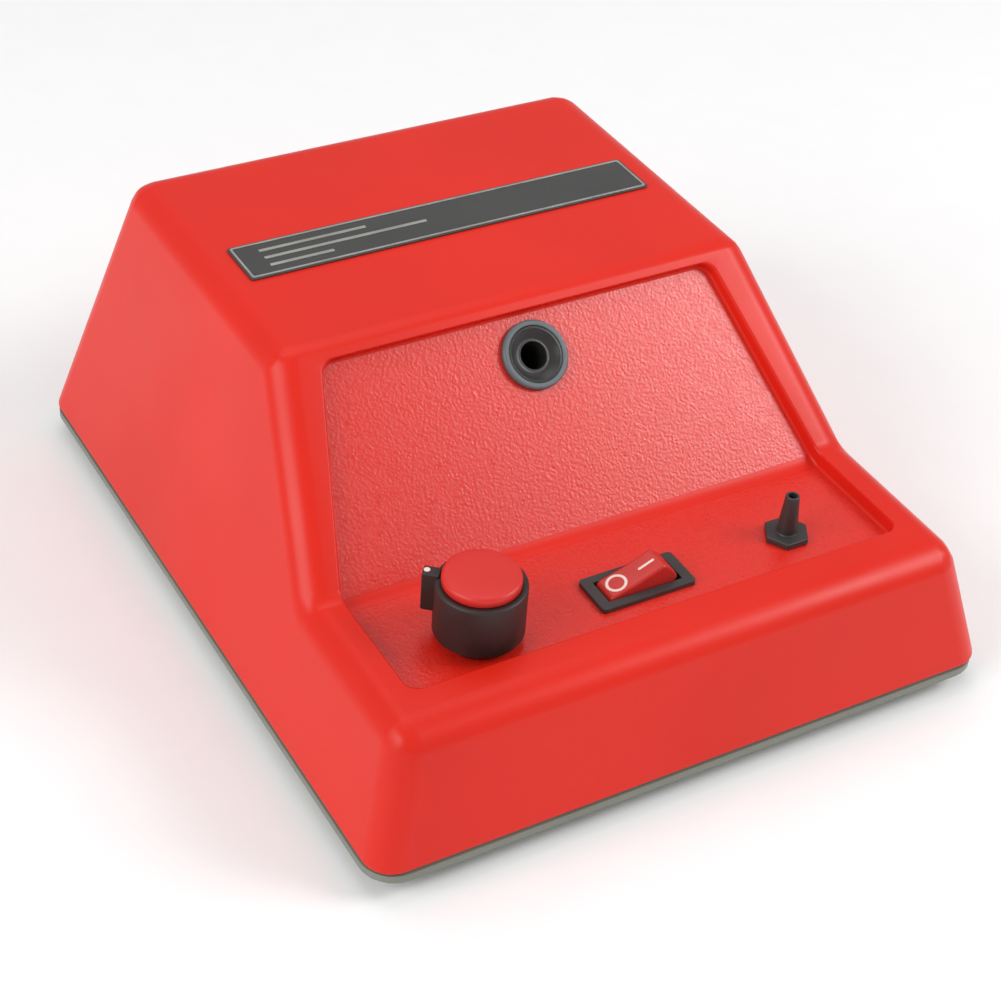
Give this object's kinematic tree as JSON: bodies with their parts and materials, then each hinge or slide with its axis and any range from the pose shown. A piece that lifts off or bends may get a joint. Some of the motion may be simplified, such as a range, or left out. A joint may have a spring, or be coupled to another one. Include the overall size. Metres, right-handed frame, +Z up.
{
  "type": "airbrush compressor",
  "caption": "Table-top airbrush compressor: wedge-fronted moulded housing with pressure knob, rocker switch, hose outlet and airbrush rest, over a motor-driven diaphragm pump.",
  "frame": {"origin": "on the surface that the feet stand on, at the middle of the body", "axes": "+X to the user's right, +Y to the back, +Z up; the sloping panel faces -Y"},
  "size_m": [0.198, 0.234, 0.0953],
  "materials": {
    "red_shell": "semi-gloss moulded, fine texture in the recess",
    "grey_pan": "satin moulded",
    "zinc_steel": "zinc plated",
    "black_rubber": "matte",
    "plate_dark": "satin printed foil",
    "plate_silver": "satin print",
    "collar_grey": "satin moulded",
    "sleeve_dark": "matte",
    "black_plastic": "satin moulded",
    "rocker_red": "gloss moulded",
    "mark_white": "printed",
    "knob_dark": "satin moulded",
    "cap_red": "semi-gloss moulded",
    "brass": "machined",
    "hose_milky": "translucent tube",
    "lamination": "stacked sheet",
    "copper": "enamelled wire",
    "bobbin": "moulded",
    "steel": "ground",
    "cast_metal": "die cast",
    "bronze": "sintered",
    "fan_white": "moulded",
    "rod_plastic": "glass filled",
    "gasket": "sheet",
    "felt": "felt",
    "block_white": "moulded",
    "lead_blue": "insulation",
    "lead_brown": "insulation"
  },
  "bodies": {
    "housing": {"housing_shell": "red_shell", "base_pan": "grey_pan", "base_screws": "zinc_steel", "rubber_feet": "black_rubber", "foot_screws": "zinc_steel", "nameplate": "plate_dark", "nameplate_inlay": "plate_silver", "rest_collar": "collar_grey", "rest_sleeve": "sleeve_dark", "cord_bush": "black_rubber", "switch_body": "black_plastic", "switch_terminals": "brass", "regulator_body": "brass", "spindle_seal": "black_rubber", "regulator_nut": "zinc_steel", "outlet_spigot": "black_plastic", "outlet_washer": "black_rubber", "outlet_nut": "zinc_steel", "pressure_hose": "hose_milky", "outlet_hose": "hose_milky", "stator_core": "lamination", "coil_bobbin": "bobbin", "stator_coil": "copper", "rear_bracket": "cast_metal", "shaft_bushes": "bronze", "motor_screws": "zinc_steel", "pump_housing": "cast_metal", "diaphragm": "black_rubber", "valve_plate": "cast_metal", "head_gasket": "gasket", "reed_valves": "steel", "pump_head": "cast_metal", "head_screws": "zinc_steel", "intake_filter": "felt", "motor_chassis": "zinc_steel", "rubber_mounts": "black_rubber", "mount_screws": "zinc_steel", "mount_nuts": "zinc_steel", "housing_screws": "zinc_steel", "terminal_block": "block_white", "terminal_screws": "brass", "switch_leads": "lead_blue", "motor_leads": "lead_brown"},
    "knob": {"knob_body": "knob_dark", "knob_cap": "cap_red", "knob_pointer": "mark_white"},
    "spindle": {"regulator_spindle": "brass"},
    "rocker": {"switch_rocker": "rocker_red", "rocker_marks": "mark_white"},
    "rotor": {"rotor_core": "steel", "motor_shaft": "steel", "cooling_fan": "fan_white", "eccentric": "steel", "eccentric_screw": "zinc_steel", "crank_bearing": "steel"},
    "rod": {"connecting_rod": "rod_plastic", "diaphragm_retainer": "cast_metal", "retainer_screw": "zinc_steel"}
  },
  "joints": [
    {"name": "knob_turn", "type": "hinge", "parent": "housing", "child": "knob", "pos_m": [-0.05, -0.07755, 0.055], "axis": [0, 0, 1], "range_deg": [-270, 0]},
    {"name": "spindle_travel", "type": "slide", "parent": "knob", "child": "spindle", "axis": [0, 0, 1], "range_m": [-0.001, 0]},
    {"name": "rocker_tilt", "type": "hinge", "parent": "housing", "child": "rocker", "pos_m": [0, -0.07755, 0.0407], "axis": [0, 1, 0], "range_deg": [0, 40]},
    {"name": "rotor_spin", "type": "hinge", "parent": "housing", "child": "rotor", "pos_m": [-0.03, 0.038, 0.039], "axis": [1, 0, 0], "continuous": true},
    {"name": "rod_pivot", "type": "hinge", "parent": "rotor", "child": "rod", "pos_m": [0.008, 0.038, 0.0405], "axis": [1, 0, 0], "continuous": true}
  ],
  "couplings": [
    {"joint": "spindle_travel", "follows": "knob_turn", "m_per_rad": 0.00019894},
    {"joint": "rod_pivot", "follows": "rotor_spin", "ratio": -1}
  ]
}
